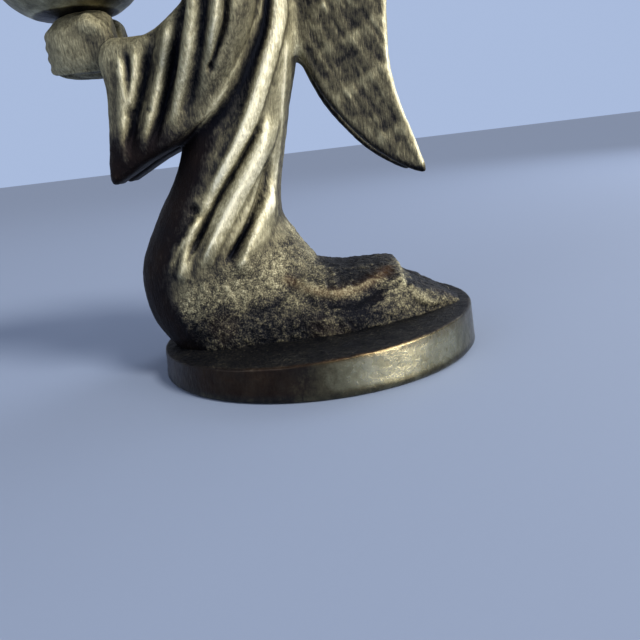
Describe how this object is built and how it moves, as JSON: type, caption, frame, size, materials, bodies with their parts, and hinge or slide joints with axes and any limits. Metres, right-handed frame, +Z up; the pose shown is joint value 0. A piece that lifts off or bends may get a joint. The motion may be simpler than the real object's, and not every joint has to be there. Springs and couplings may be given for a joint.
{
  "type": "angel candle holder",
  "caption": "Brass figure of a kneeling robed angel on a round base, holding a candle cup in its hands, with folded wings down its back.",
  "frame": {"origin": "centre of the round base's underside", "axes": "+Z up through the figure; the angel faces -X and its feet point to +X; both sides are alike across the XZ plane"},
  "size_m": [0.0792, 0.06, 0.1173],
  "materials": {
    "aged_brass": "antique, dark in the hollows and worn bright on the folds"
  },
  "bodies": {
    "root": {"angel_casting": "aged_brass"}
  },
  "joints": []
}
